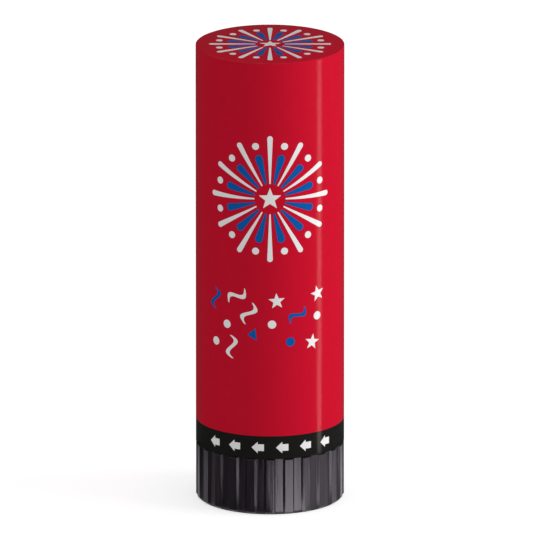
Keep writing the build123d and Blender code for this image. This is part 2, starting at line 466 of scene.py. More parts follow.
RED_PRINT = LaminatedPrint("laminated_red_print", "#D6112F")
BLACK_PRINT = LaminatedPrint("laminated_black_print", "#20201E")
WHITE_PRINT = LaminatedPrint("laminated_white_print", "#FFFFFF", mottle=0.005)
BLUE_PRINT = LaminatedPrint("laminated_blue_print", "#0A62B4")
PAPER_BACK = SoftPaper("uncoated_paper_back", "#EDEAE2", crinkle_size=0.5, crinkle_depth=0.004)
BLACK_PLASTIC = MouldedPlastic("moulded_black_polypropylene", "#201823", shade=0.45, draw_depth=0.045)
SEAT_PLASTIC = MouldedPlastic("moulded_dark_grey_polypropylene", "#2A2A2D")
PLATE_PLASTIC = MouldedPlastic("moulded_white_polypropylene", "#DADAD4", shade=0.01)
STEM_PLASTIC = MouldedPlastic("moulded_natural_acetal", "#ECEBE2", shade=0.01, roughness=(0.22, 0.3))
TUBE_CARD = WoundCard("spiral_wound_card", "#A58D6C")
BOARD = Greyboard("pressed_greyboard", "#938C80")
RED_TISSUE = SoftPaper("red_tissue_paper", "#C8152F")
WHITE_TISSUE = SoftPaper("white_tissue_paper", "#F4F2EE")
STEEL = PlatedWire("zinc_plated_spring_steel", "#B4B5B8")


def put_in_scene(name: str, data: bpy.types.ID) -> bpy.types.Object:
    """Put a mesh, a lamp or a camera in the scene.

    Args:
        name: the new object's name.
        data: the mesh, lamp or camera.

    Returns:
        The new object, at the origin.
    """
    thing = bpy.data.objects.new(name, data)
    bpy.context.scene.collection.objects.link(thing)
    return thing


def join_rings(form: bmesh.types.BMesh, rings: list[Ring]) -> list[bmesh.types.BMFace]:
    """Join closed rings of points, each to the next one, by bands of faces.

    Args:
        form: the shape that the points are in.
        rings: the rings, which have equally many points.

    Returns:
        The faces, band by band.
    """
    return [
        form.faces.new(corners)
        for near, far in zip(rings, rings[1:])
        for corners in zip(near, far, far[1:] + far[:1], near[1:] + near[:1])
    ]


def turn_profile(form: bmesh.types.BMesh, profile: Outline, columns: int) -> list[Ring]:
    """Turn a profile about the upright axis into a shell.

    Args:
        form: the shape that gets the shell.
        profile: radius and height of each point.
        columns: how many faces go round.

    Returns:
        The ring of points that each point of the profile becomes.
    """
    turns = [FULL_TURN * column / columns for column in range(columns)]
    rings = [
        [form.verts.new(Vector((r * math.cos(t), r * math.sin(t), z)) * MM) for t in turns]
        for r, z in profile
    ]
    join_rings(form, rings)
    return rings


def plain_mesh(form: bmesh.types.BMesh, name: str) -> bpy.types.Mesh:
    """Turn a shape into a mesh.

    Args:
        form: the shape, which is used up.
        name: the mesh's name.

    Returns:
        The mesh.
    """
    mesh = bpy.data.meshes.new(name)
    form.to_mesh(mesh)
    form.free()
    return mesh


def smooth_piece(form: bmesh.types.BMesh, name: str, finishes: list[Finish]) -> bpy.types.Object:
    """Put a closed shape in the scene as a piece, smooth but for its sharp edges.

    Args:
        form: the shape, in place, which is used up.
        name: the piece's name.
        finishes: the finishes that its faces' numbers stand for.

    Returns:
        The new object, at the origin.
    """
    bmesh.ops.recalc_face_normals(form, faces=form.faces)
    mesh = plain_mesh(form, name)
    mesh.shade_smooth()
    mesh.set_sharp_from_angle(angle=math.radians(SHARP_ANGLE))
    for finish in finishes:
        mesh.materials.append(finish.material())
    return put_in_scene(name, mesh)


def log_piece(piece: bpy.types.Object, body: str) -> None:
    """Report a finished piece, the body that it rides on and its triangles."""
    triangles = sum(len(face.vertices) - 2 for face in piece.data.polygons)
    LOG.info("%s on %s: %d triangles", piece.name, body, triangles)


def settle(piece: bpy.types.Object, body: str, slot: str, *nodes: str) -> None:
    """Set a finished piece on its body.

    Args:
        piece: the piece.
        body: the CAD body that it rides on.
        slot: the material slot of the record that it belongs to; it is not used.
        nodes: the CAD nodes that it stands for, if any.
    """
    if nodes:
        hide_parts(*nodes)
    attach(piece, body)
    log_piece(piece, body)


def dress_node(node: str, finish: Finish) -> None:
    """Give a finish to a CAD node that keeps its own shape.

    Args:
        node: the node's name.
        finish: the finish.
    """
    piece = frame["nodes"][node]
    piece.data.materials.clear()
    piece.data.materials.append(finish.material())
    log_piece(piece, piece["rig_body"])


class ShapeTree:
    """A Geometry Nodes tree with named inputs, whose result becomes one plain mesh."""

    def __init__(self, name: str) -> None:
        """Start an empty tree.

        Args:
            name: the tree's name, which its piece takes as well.
        """
        self.name = name
        self.tree = bpy.data.node_groups.new(name, "GeometryNodeTree")
        self.tree.is_modifier = True
        self.values: dict[str, object] = {}
        self.templates: list[bpy.types.Object] = []

    def add(self, kind: str, inputs: Inputs | None = None, **settings: object) -> bpy.types.Node:
        """Add a node to this tree, as add_node does."""
        return add_node(self.tree, kind, inputs, **settings)

    def value(self, name: str, value: object, kind: str = "NodeSocketFloat") -> bpy.types.NodeSocket:
        """Add a named input.

        Args:
            name: the input's name.
            value: what the modifier sets it to.
            kind: Blender's name for the kind of socket.

        Returns:
            The socket that carries the input inside the tree.
        """
        socket = self.tree.interface.new_socket(name=name, in_out="INPUT", socket_type=kind)
        self.values[socket.identifier] = value
        inlet = self.add("NodeGroupInput")
        return next(out for out in inlet.outputs if out.identifier == socket.identifier)

    def length(self, name: str, size: float) -> bpy.types.NodeSocket:
        """Add a named length, given in millimetres."""
        return self.value(name, size * MM)

    def count(self, name: str, number: int) -> bpy.types.NodeSocket:
        """Add a named whole number."""
        return self.value(name, number, "NodeSocketInt")

    def shape(self, name: str, template: bpy.types.Object) -> bpy.types.NodeSocket:
        """Add a named object, which is removed when the tree ends.

        Args:
            name: the input's name.
            template: the object.

        Returns:
            The socket that carries its geometry inside the tree.
        """
        self.templates.append(template)
        source = self.value(name, template, "NodeSocketObject")
        return self.add("GeometryNodeObjectInfo", {"Object": source}).outputs["Geometry"]

    def row(self, count: bpy.types.NodeSocket, start: Inputs, step: Inputs) -> bpy.types.Node:
        """Lay places in a straight row.

        Args:
            count: how many there are.
            start: where the first one is, by axis.
            step: how far it is to the next one, by axis.

        Returns:
            The places.
        """
        ends = {
            "Start Location": self.add("ShaderNodeCombineXYZ", start),
            "Offset": self.add("ShaderNodeCombineXYZ", step),
        }
        return self.add("GeometryNodeMeshLine", {"Count": count, **ends})

    def axes(self) -> tuple[bpy.types.NodeSocket, ...]:
        """Add every point's place and return the sockets of its X, Y and Z."""
        return tuple(self.add("ShaderNodeSeparateXYZ", {0: self.add("GeometryNodeInputPosition")}).outputs)

    def raise_to(self, shape: bpy.types.Node, height: bpy.types.Node) -> bpy.types.Node:
        """Move every point of a shape straight up or down.

        Args:
            shape: the shape.
            height: the height that each point goes to.

        Returns:
            The moved shape.
        """
        x, y, _ = self.axes()
        place = self.add("ShaderNodeCombineXYZ", {"X": x, "Y": y, "Z": height})
        return self.add("GeometryNodeSetPosition", {"Geometry": shape, "Position": place})

    def thicken(self, flat: bpy.types.Node, thickness: bpy.types.NodeSocket) -> bpy.types.Node:
        """Turn flat shapes into closed solids.

        Args:
            flat: the shapes, facing up.
            thickness: how far they are raised.

        Returns:
            The solids.
        """
        raised = self.add(
            "GeometryNodeExtrudeMesh",
            {"Mesh": flat, "Offset Scale": thickness, "Individual": False},
            mode="FACES",
        )
        underside = self.add("GeometryNodeFlipFaces", {"Mesh": flat})
        both = self.add("GeometryNodeJoinGeometry", {0: [raised, underside]})
        return self.add("GeometryNodeMergeByDistance", {"Geometry": both, "Distance": WELD})

    def piece(self, shape: bpy.types.Node, finish: Finish) -> bpy.types.Object:
        """End the tree and turn its result into a piece.

        Args:
            shape: the node that gives the finished geometry.
            finish: the piece's finish.

        Returns:
            A plain mesh object with no modifier.
        """
        self.tree.interface.new_socket(name="Shape", in_out="OUTPUT", socket_type="NodeSocketGeometry")
        real = self.add("GeometryNodeRealizeInstances", {0: shape})
        dressed = self.add("GeometryNodeSetMaterial", {"Geometry": real, "Material": finish.material()})
        self.add("NodeGroupOutput", {"Shape": dressed})
        piece = put_in_scene(self.name, bpy.data.meshes.new(f"{self.name}_seed"))
        modifier = piece.modifiers.new("shape", "NODES")
        modifier.node_group = self.tree
        for identifier, value in self.values.items():
            modifier[identifier] = value
        evaluated = piece.evaluated_get(bpy.context.evaluated_depsgraph_get())
        mesh = bpy.data.meshes.new_from_object(evaluated)
        piece.modifiers.remove(modifier)
        mesh.name = self.name
        piece.data = mesh
        for template in self.templates:
            bpy.data.objects.remove(template)
        return piece


class Motif(Enum):
    """The small shapes that are printed, each drawn as an outline in millimetres."""

    ARROW = "arrow"
    RAY = "ray"
    DOT = "dot"
    STAR = "star"
    SHARD = "shard"
    CURL = "curl"

    def outline(self, size: float, reach: float) -> Outline:
        """Draw the shape counter-clockwise.

        Args:
            size: its height, or its width across a stroke.
            reach: its length, where that is set apart.

        Returns:
            The corner points.
        """
        half = size / 2
        match self:
            case Motif.ARROW:
                shaft_share = 0.29
                shaft = shaft_share * size
                head = [(0.0, half), (-reach / 2, 0.0), (0.0, -half)]
                return head + [(0.0, -shaft), (reach / 2, -shaft), (reach / 2, shaft), (0.0, shaft)]
            case Motif.RAY:
                root_share = 0.12
                tip_steps = 8
                root = root_share * size
                turns = [math.pi * step / tip_steps for step in range(tip_steps + 1)]
                tip = [(half * math.cos(t), reach - half + half * math.sin(t)) for t in turns]
                return [(-root, 0.0), (root, 0.0)] + tip
            case Motif.DOT:
                steps = 20
                turns = [FULL_TURN * step / steps for step in range(steps)]
                return [(half * math.cos(t), half * math.sin(t)) for t in turns]
            case Motif.STAR:
                points = 5
                dip_share = 0.42
                turns = [math.pi * (0.5 + step / points) for step in range(2 * points)]
                radii = [half, dip_share * half] * points
                return [(r * math.cos(t), r * math.sin(t)) for r, t in zip(radii, turns)]
            case Motif.SHARD:
                corner_shares = [(-1.0, -0.4), (1.0, -0.6), (0.1, 0.9)]
                return [(x * half, y * half) for x, y in corner_shares]
            case Motif.CURL:
                steps = 16
                swing_share = 0.22
                end_share = 0.35
                shares = [step / steps for step in range(steps + 1)]
                wave = [(reach * (s - 0.5), swing_share * reach * math.sin(FULL_TURN * s)) for s in shares]
                stroke = [half * (end_share + (1 - end_share) * math.sin(math.pi * s)) for s in shares]
                under = [(x, y - w) for (x, y), w in zip(wave, stroke)]
                over = [(x, y + w) for (x, y), w in zip(wave, stroke)]
                return under + over[::-1]

    def template(self, size: float, reach: float = 0.0, out: float = 0.0) -> bpy.types.Object:
        """Make the shape as a flat object that a tree can repeat.

        Args:
            size: the shape's height or stroke.
            reach: its length, where that is set apart.
            out: how far it is moved along +Y.

        Returns:
            The object, which is not in the scene.
        """
        form = bmesh.new()
        form.faces.new([form.verts.new((x * MM, (y + out) * MM, 0)) for x, y in self.outline(size, reach)])
        bmesh.ops.triangulate(form, faces=form.faces)
        cells = math.ceil((size + reach + out) / PRINT_CELL)
        for across in (Vector((1, 0, 0)), Vector((0, 1, 0))):
            for cell in range(-cells, cells + 1):
                bmesh.ops.bisect_plane(
                    form,
                    geom=form.verts[:] + form.edges[:] + form.faces[:],
                    plane_co=across * cell * PRINT_CELL * MM,
                    plane_no=across,
                    dist=WELD,
                )
        mesh = plain_mesh(form, f"{self.value}_template")
        return bpy.data.objects.new(mesh.name, mesh)


class Bed(Enum):
    """What a print lies on: the wrap round the tube, or the disc over its mouth."""

    WRAP = "wrap"
    DISC = "disc"


@dataclass(frozen=True)
class InkFilm:
    """A film of ink on the wrap or the disc. Its level is its underside's radius or height."""

    bed: Bed
    level: float
    thickness: float = 0.06

    def lay(self, shapes: ShapeTree, spread: bpy.types.Node, finish: Finish) -> bpy.types.Object:
        """Thicken flat shapes, lay them on their bed and turn them into a piece.

        Args:
            shapes: the tree that the shapes are in.
            spread: the shapes, spread out flat. On the wrap, x runs round it and y runs up it.
            finish: the ink.

        Returns:
            The printed piece, of closed solids in place.
        """
        flat = shapes.add("GeometryNodeRealizeInstances", {0: spread})
        film = shapes.thicken(flat, shapes.length("Ink thickness", self.thickness))
        level = shapes.length("Ink level", self.level)
        x, y, z = shapes.axes()
        height = shapes.add("ShaderNodeMath", {0: z, 1: level}, operation="ADD")
        if self.bed is Bed.DISC:
            laid = shapes.raise_to(film, height)
        else:
            # measured from the back, so that x of nothing is half a turn away, at the front
            round_turn = shapes.add("ShaderNodeMath", {0: x, 1: level}, operation="DIVIDE")
            turn = shapes.add("ShaderNodeMath", {0: round_turn, 1: math.pi}, operation="ADD")
            upright = shapes.add("ShaderNodeCombineXYZ", {"Y": height, "Z": y})
            wrapped = shapes.add(
                "ShaderNodeVectorRotate", {"Vector": upright, "Angle": turn}, rotation_type="Z_AXIS"
            )
            laid = shapes.add("GeometryNodeSetPosition", {"Geometry": film, "Position": wrapped})
        return shapes.piece(laid, finish)


@dataclass
class Burst:
    """A printed firework: rays that spread from a middle star, with dots between their tips.

    The shares are parts of the burst's radius.
    """

    ink: InkFilm
    middle: float
    radius: float
    rays: int = 12
    hub_share: float = 0.24
    short_share: float = 0.72
    long_width_share: float = 0.085
    short_width_share: float = 0.12
    dot_share: float = 0.11
    star_share: float = 0.36

    def ring(
        self, name: str, template: bpy.types.Object, finish: Finish, start: float, number: int
    ) -> bpy.types.Object:
        """Repeat a shape round the middle of the burst.

        Args:
            name: the piece's name.
            template: the shape, drawn along +Y from the middle.
            finish: its ink.
            start: by how much of a step the first copy is turned.
            number: how many copies there are.

        Returns:
            The printed piece.
        """
        shapes = ShapeTree(name)
        first = shapes.value("First turn", FULL_TURN * start / number)
        step = shapes.value("Turn to the next", FULL_TURN / number)
        middle = shapes.add("ShaderNodeCombineXYZ", {"Y": shapes.length("Middle height", self.middle)})
        copies = shapes.count("Copies", number)
        points = shapes.add("GeometryNodePoints", {"Count": copies, "Position": middle})
        index = shapes.add("GeometryNodeInputIndex")
        turn = shapes.add("ShaderNodeMath", {0: index, 1: step, 2: first}, operation="MULTIPLY_ADD")
        spread = shapes.add(
            "GeometryNodeInstanceOnPoints",
            {
                "Points": points,
                "Instance": shapes.shape("Shape to repeat", template),
                "Rotation": shapes.add("ShaderNodeCombineXYZ", {"Z": turn}),
            },
        )
        return self.ink.lay(shapes, spread, finish)

    def build(self, name: str) -> list[bpy.types.Object]:
        """Print the burst.

        Args:
            name: what the names of its pieces start with.

        Returns:
            Its pieces.
        """
        hub = self.hub_share * self.radius
        short = self.short_share * self.radius
        long_ray = Motif.RAY.template(self.long_width_share * self.radius, self.radius - hub, hub)
        short_ray = Motif.RAY.template(self.short_width_share * self.radius, short - hub, hub)
        dot = Motif.DOT.template(self.dot_share * self.radius, out=(short + self.radius) / 2)
        star = Motif.STAR.template(self.star_share * self.radius)
        on_step = 0.0
        half_step = 0.5
        return [
            self.ring(f"{name}_long_rays", long_ray, WHITE_PRINT, on_step, self.rays),
            self.ring(f"{name}_short_rays", short_ray, BLUE_PRINT, half_step, self.rays),
            self.ring(f"{name}_dots", dot, WHITE_PRINT, half_step, self.rays),
            self.ring(f"{name}_star", star, WHITE_PRINT, on_step, 1),
        ]


class Share(Enum):
    """Which of a group of scattered places an ink takes, as the comparison that picks them."""

    FIRST = "LESS_THAN"
    REST = "GREATER_THAN"


@dataclass
class ConfettiPrint:
    """Printed confetti, scattered over a stretch of the label.

    The places are counted off in groups, and the first few of each group are white.
    """

    ink: InkFilm
    middle: float
    width: float = 29.0
    height: float = 13.0
    spacing: float = 4.6
    most_places: float = 0.4
    group: int = 3
    white_places: int = 2
    white_star: float = 4.0
    white_dot: float = 2.0
    white_curl: float = 5.6
    blue_dot: float = 2.2
    blue_shard: float = 3.0
    blue_curl: float = 5.2
    curl_stroke: float = 1.3
    seed: int = 12

    def scatter(
        self, name: str, templates: list[bpy.types.Object], finish: Finish, share: Share
    ) -> bpy.types.Object:
        """Scatter shapes of one ink.

        Args:
            name: the piece's name.
            templates: the shapes, which take turns.
            finish: their ink.
            share: the places that they take.

        Returns:
            The printed piece.
        """
        shapes = ShapeTree(name)
        seed = shapes.count("Seed", self.seed)
        sheet = shapes.add(
            "GeometryNodeMeshGrid",
            {
                "Size X": shapes.length("Width", self.width),
                "Size Y": shapes.length("Height", self.height),
                "Vertices X": 2,
                "Vertices Y": 2,
            },
        )
        middle = shapes.add("ShaderNodeCombineXYZ", {"Y": shapes.length("Middle height", self.middle)})
        field = shapes.add("GeometryNodeTransform", {"Geometry": sheet, "Translation": middle})
        places = shapes.add(
            "GeometryNodeDistributePointsOnFaces",
            {
                "Mesh": field,
                "Distance Min": shapes.length("Spacing", self.spacing),
                "Density Max": shapes.value("Most places in an area", self.most_places / MM**2),
                "Seed": seed,
            },
            distribute_method="POISSON",
        )
        index = shapes.add("GeometryNodeInputIndex")
        counted = shapes.add("ShaderNodeMath", {0: index, 1: self.group}, operation="MODULO")
        # places are numbered from nothing, so this lies between the last white one and the next
        limit = self.white_places - 0.5
        picked = shapes.add(
            "FunctionNodeCompare", {0: counted, 1: limit}, data_type="FLOAT", operation=share.value
        )
        kept = shapes.add(
            "GeometryNodeSeparateGeometry", {"Geometry": places, "Selection": picked}, domain="POINT"
        )
        sources = [shapes.shape(template.name, template) for template in templates]
        spin = shapes.add(
            "FunctionNodeRandomValue",
            {"Min": (0.0, 0.0, 0.0), "Max": (0.0, 0.0, FULL_TURN), "Seed": seed},
            data_type="FLOAT_VECTOR",
        )
        spread = shapes.add(
            "GeometryNodeInstanceOnPoints",
            {
                "Points": kept,
                "Instance": shapes.add("GeometryNodeGeometryToInstance", {0: sources}),
                "Pick Instance": True,
                "Rotation": spin,
            },
        )
        return self.ink.lay(shapes, spread, finish)

    def build(self) -> list[bpy.types.Object]:
        """Print the confetti in both inks.

        Returns:
            Its pieces.
        """
        white = [
            Motif.STAR.template(self.white_star),
            Motif.DOT.template(self.white_dot),
            Motif.CURL.template(self.curl_stroke, self.white_curl),
        ]
        blue = [
            Motif.DOT.template(self.blue_dot),
            Motif.SHARD.template(self.blue_shard),
            Motif.CURL.template(self.curl_stroke, self.blue_curl),
        ]
        return [
            self.scatter("label_white_confetti", white, WHITE_PRINT, Share.FIRST),
            self.scatter("label_blue_confetti", blue, BLUE_PRINT, Share.REST),
        ]


@dataclass
class Label:
    """The printed paper round the tube, with a lap seam at the back and a band of arrows."""

    glue_gap: float = 0.02
    band_height: float = 5.58
    lap_step: float = 0.1
    lap_run: float = 40.0
    lap_edge: float = 0.04
    columns: int = 288
    arrow_height: float = 2.8
    arrow_length: float = 2.95
    arrow_turn: float = 19.0
    arrows_a_side: int = 6
    burst_middle: float = 77.1
    burst_radius: float = 15.3
    confetti_middle: float = 46.6

    def __post_init__(self) -> None:
        """Read the label's place from the frame."""
        low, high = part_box("label_wrap")
        self.radius = high.x / MM - INK_ROOM
        self.bottom = low.z / MM
        self.top = high.z / MM
        self.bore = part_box("tube")[1].x / MM + self.glue_gap
        self.ink = InkFilm(Bed.WRAP, self.radius - INK_SINK)

    def sheet(self) -> bpy.types.Object:
        """Wrap the paper round the tube, printed black below and red above.

        Returns:
            The paper as one closed piece.
        """
        band_top = self.bottom + self.band_height
        last_turn = FULL_TURN - self.lap_edge / self.radius
        form = bmesh.new()
        rows = []
        for column in range(self.columns + 1):
            turn = last_turn * column / self.columns
            rise = min(1.0, math.degrees(turn) / self.lap_run)
            # eased at both ends of the run, so that no crease shows
            eased = rise * rise * (3 - 2 * rise)
            outer = self.radius - self.lap_step * (1 - eased)
            section = [
                (self.bore, self.bottom),
                (outer, self.bottom),
                (outer, band_top),
                (outer, self.top),
                (self.bore, self.top),
            ]
            away = Vector((-math.sin(turn), math.cos(turn), 0))
            rows.append([form.verts.new((away * r + Vector((0, 0, z))) * MM) for r, z in section])
        finishes = [RED_PRINT, BLACK_PRINT, PAPER_BACK]
        sides = [BLACK_PRINT, BLACK_PRINT, RED_PRINT, RED_PRINT, PAPER_BACK]
        for face, finish in zip(join_rings(form, rows + rows[:1]), sides * len(rows)):
            face.material_index = finishes.index(finish)
        return smooth_piece(form, "printed_label", finishes)

    def arrows(self) -> bpy.types.Object:
        """Print the arrows that show which way the base turns, in front and behind.

        Returns:
            The printed piece.
        """
        shapes = ShapeTree("label_arrows")
        template = Motif.ARROW.template(self.arrow_height, self.arrow_length)
        spacing = math.radians(self.arrow_turn) * self.radius
        step = shapes.length("Arrow spacing", spacing)
        start = shapes.length("First arrow", -spacing * (self.arrows_a_side - 1) / 2)
        height = shapes.length("Band middle", self.bottom + self.band_height / 2)
        arrows = shapes.count("Arrows on a side", self.arrows_a_side)
        row = shapes.row(arrows, {"X": start, "Y": height}, {"X": step})
        half_round = shapes.length("Half way round", math.pi * self.ink.level)
        sides = shapes.row(shapes.count("Sides", 2), {}, {"X": half_round})
        arrow = shapes.shape("Arrow", template)
        one_side = shapes.add("GeometryNodeInstanceOnPoints", {"Points": row, "Instance": arrow})
        both_sides = shapes.add("GeometryNodeInstanceOnPoints", {"Points": sides, "Instance": one_side})
        return self.ink.lay(shapes, both_sides, WHITE_PRINT)

    def build(self) -> None:
        """Build the label and its print."""
        settle(self.sheet(), "tube_body", "label_paper", "label_wrap")
        burst = Burst(self.ink, self.burst_middle, self.burst_radius)
        confetti = ConfettiPrint(self.ink, self.confetti_middle)
        for piece in [self.arrows(), *burst.build("label_burst"), *confetti.build()]:
            settle(piece, "tube_body", "label_paper")


@dataclass
class MuzzleCover:
    """The paper disc over the mouth with its print, and the board plug that centres it."""

    edge_radius: float = 0.1
    edge_steps: int = 4
    columns: int = 256
    burst_radius: float = 14.3

    def __post_init__(self) -> None:
        """Read the disc's place from the frame."""
        low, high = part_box("top_label")
        self.radius = high.x / MM - INK_ROOM
        self.bottom = low.z / MM
        self.top = high.z / MM - INK_ROOM

    def disc(self) -> bpy.types.Object:
        """Turn the paper disc with a softened rim.

        Returns:
            The disc as one closed piece.
        """
        profile = [(self.radius, self.bottom)]
        for step in range(self.edge_steps + 1):
            turn = math.pi / 2 * step / self.edge_steps
            inset = self.edge_radius * (1 - math.cos(turn))
            drop = self.edge_radius * (1 - math.sin(turn))
            profile.append((self.radius - inset, self.top - drop))
        form = bmesh.new()
        rings = turn_profile(form, profile, self.columns)
        finishes = [RED_PRINT, PAPER_BACK]
        form.faces.new(rings[0][::-1]).material_index = finishes.index(PAPER_BACK)
        form.faces.new(rings[-1])
        return smooth_piece(form, "cover_disc", finishes)

    def build(self) -> None:
        """Build the disc and its print, and dress the plug."""
        settle(self.disc(), "muzzle_cover", "cover_paper", "top_label")
        ink = InkFilm(Bed.DISC, self.top - INK_SINK)
        burst = Burst(ink, middle=0.0, radius=self.burst_radius)
        for piece in burst.build("cover_burst"):
            settle(piece, "muzzle_cover", "cover_paper")
        dress_node("muzzle_plug", BOARD)


@dataclass
class ConfettiCharge:
    """The confetti in the barrel: layers of four piles of tissue slips, red and white by turns."""

    layers: int = 26
    layer_turn: float = 37.0
    pile_length: float = 12.47
    pile_width: float = 8.4
    pile_gap: float = 0.3
    slips: int = 8
    slip_share: float = 0.96
    slip_thickness: float = 0.05
    slip_points: tuple[int, int] = (5, 4)
    slip_twist: float = 13.0
    slip_tilt: float = 0.6
    crinkle: float = 0.2
    crinkle_size: float = 6.0
    crinkle_detail: float = 1.0
    seed: int = 3

    def piles(self, name: str, node: str, finish: Finish, odd: int) -> bpy.types.Object:
        """Fill two opposite piles of every layer with slips of one colour.

        Args:
            name: the piece's name.
            node: the CAD node that it stands for.
            finish: the tissue.
            odd: whether the piles start a quarter turn and half a slip on, as 1 or 0.

        Returns:
            The slips as one mesh.
        """
        low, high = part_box(node)
        pitch = (high.z - low.z) / MM / self.layers
        slip_step = pitch / self.slips
        shapes = ShapeTree(name)
        index = shapes.add("GeometryNodeInputIndex")
        aside = shapes.length("Pile aside", -(self.pile_width + self.pile_gap) / 2)
        ahead = shapes.length("Pile ahead", (self.pile_length + self.pile_gap) / 2)
        upwards = shapes.length("Slip spacing", slip_step)
        slips = shapes.count("Slips in a pile", self.slips)
        pile = shapes.row(slips, {"X": aside, "Y": ahead}, {"Z": upwards})
        opposite = shapes.add("ShaderNodeMath", {0: index, 1: math.pi}, operation="MULTIPLY")
        pair = shapes.add(
            "GeometryNodeInstanceOnPoints",
            {
                "Points": shapes.add("GeometryNodePoints", {"Count": 2}),
                "Instance": pile,
                "Rotation": shapes.add("ShaderNodeCombineXYZ", {"Z": opposite}),
            },
        )
        bottom = shapes.length("Lowest slip", low.z / MM + odd * slip_step / 2)
        spacing = shapes.length("Layer spacing", pitch)
        column = shapes.row(shapes.count("Layers", self.layers), {"Z": bottom}, {"Z": spacing})
        shifted = shapes.add("ShaderNodeMath", {0: index, 1: shapes.count("Odd", odd)}, operation="ADD")
        by_turns = shapes.add("ShaderNodeMath", {0: shifted, 1: 2.0}, operation="MODULO")
        quarter = shapes.add("ShaderNodeMath", {0: by_turns, 1: FULL_TURN / 4}, operation="MULTIPLY")
        layer_turn = shapes.value("Layer turn", math.radians(self.layer_turn))
        turn = shapes.add("ShaderNodeMath", {0: index, 1: layer_turn, 2: quarter}, operation="MULTIPLY_ADD")
        charge = shapes.add(
            "GeometryNodeInstanceOnPoints",
            {
                "Points": column,
                "Instance": pair,
                "Rotation": shapes.add("ShaderNodeCombineXYZ", {"Z": turn}),
            },
        )
        places = shapes.add("GeometryNodeRealizeInstances", {0: charge})
        return shapes.piece(self.loose_slips(shapes, places), finish)

    def loose_slips(self, shapes: ShapeTree, places: bpy.types.Node) -> bpy.types.Node:
        """Put a crinkled slip on every place, turned as its pile is and a little at random.

        Args:
            shapes: the tree that the places are in.
            places: the middle of each slip.

        Returns:
            The slips.
        """
        along, across = self.slip_points
        grid = shapes.add(
            "GeometryNodeMeshGrid",
            {
                "Size X": shapes.length("Slip length", self.slip_share * self.pile_length),
                "Size Y": shapes.length("Slip width", self.slip_share * self.pile_width),
                "Vertices X": along,
                "Vertices Y": across,
            },
        )
        slip = shapes.thicken(grid, shapes.length("Slip thickness", self.slip_thickness))
        first = math.atan2(self.pile_length + self.pile_gap, -self.pile_width - self.pile_gap)
        x, y, _ = shapes.axes()
        direction = shapes.add("ShaderNodeMath", {0: y, 1: x}, operation="ARCTAN2")
        pile_turn = shapes.add("ShaderNodeMath", {0: direction, 1: first}, operation="SUBTRACT")
        most = [math.radians(angle) for angle in (self.slip_tilt, self.slip_tilt, self.slip_twist)]
        loose = shapes.add(
            "FunctionNodeRandomValue",
            {
                "Min": tuple(-angle for angle in most),
                "Max": tuple(most),
                "Seed": shapes.count("Seed", self.seed),
            },
            data_type="FLOAT_VECTOR",
        )
        turned = shapes.add(
            "ShaderNodeVectorMath",
            {0: loose, 1: shapes.add("ShaderNodeCombineXYZ", {"Z": pile_turn})},
            operation="ADD",
        )
        laid = shapes.add(
            "GeometryNodeInstanceOnPoints", {"Points": places, "Instance": slip, "Rotation": turned}
        )
        real = shapes.add("GeometryNodeRealizeInstances", {0: laid})
        ripple_scale = 1 / (self.crinkle_size * MM)
        ripple = shapes.add("ShaderNodeTexNoise", {"Scale": ripple_scale, "Detail": self.crinkle_detail})
        depth = shapes.length("Crinkle", self.crinkle)
        lift = shapes.add("ShaderNodeMath", {0: ripple, 1: depth}, operation="MULTIPLY")
        upwards = shapes.add("ShaderNodeCombineXYZ", {"Z": lift})
        return shapes.add("GeometryNodeSetPosition", {"Geometry": real, "Offset": upwards})

    def build(self) -> None:
        """Build the slips of both colours."""
        for colour, finish, odd in (("red", RED_TISSUE, 1), ("white", WHITE_TISSUE, 0)):
            node = f"confetti_{colour}"
            slips = self.piles(f"{colour}_tissue_slips", node, finish, odd)
            settle(slips, "confetti_charge", f"tissue_{colour}", node)


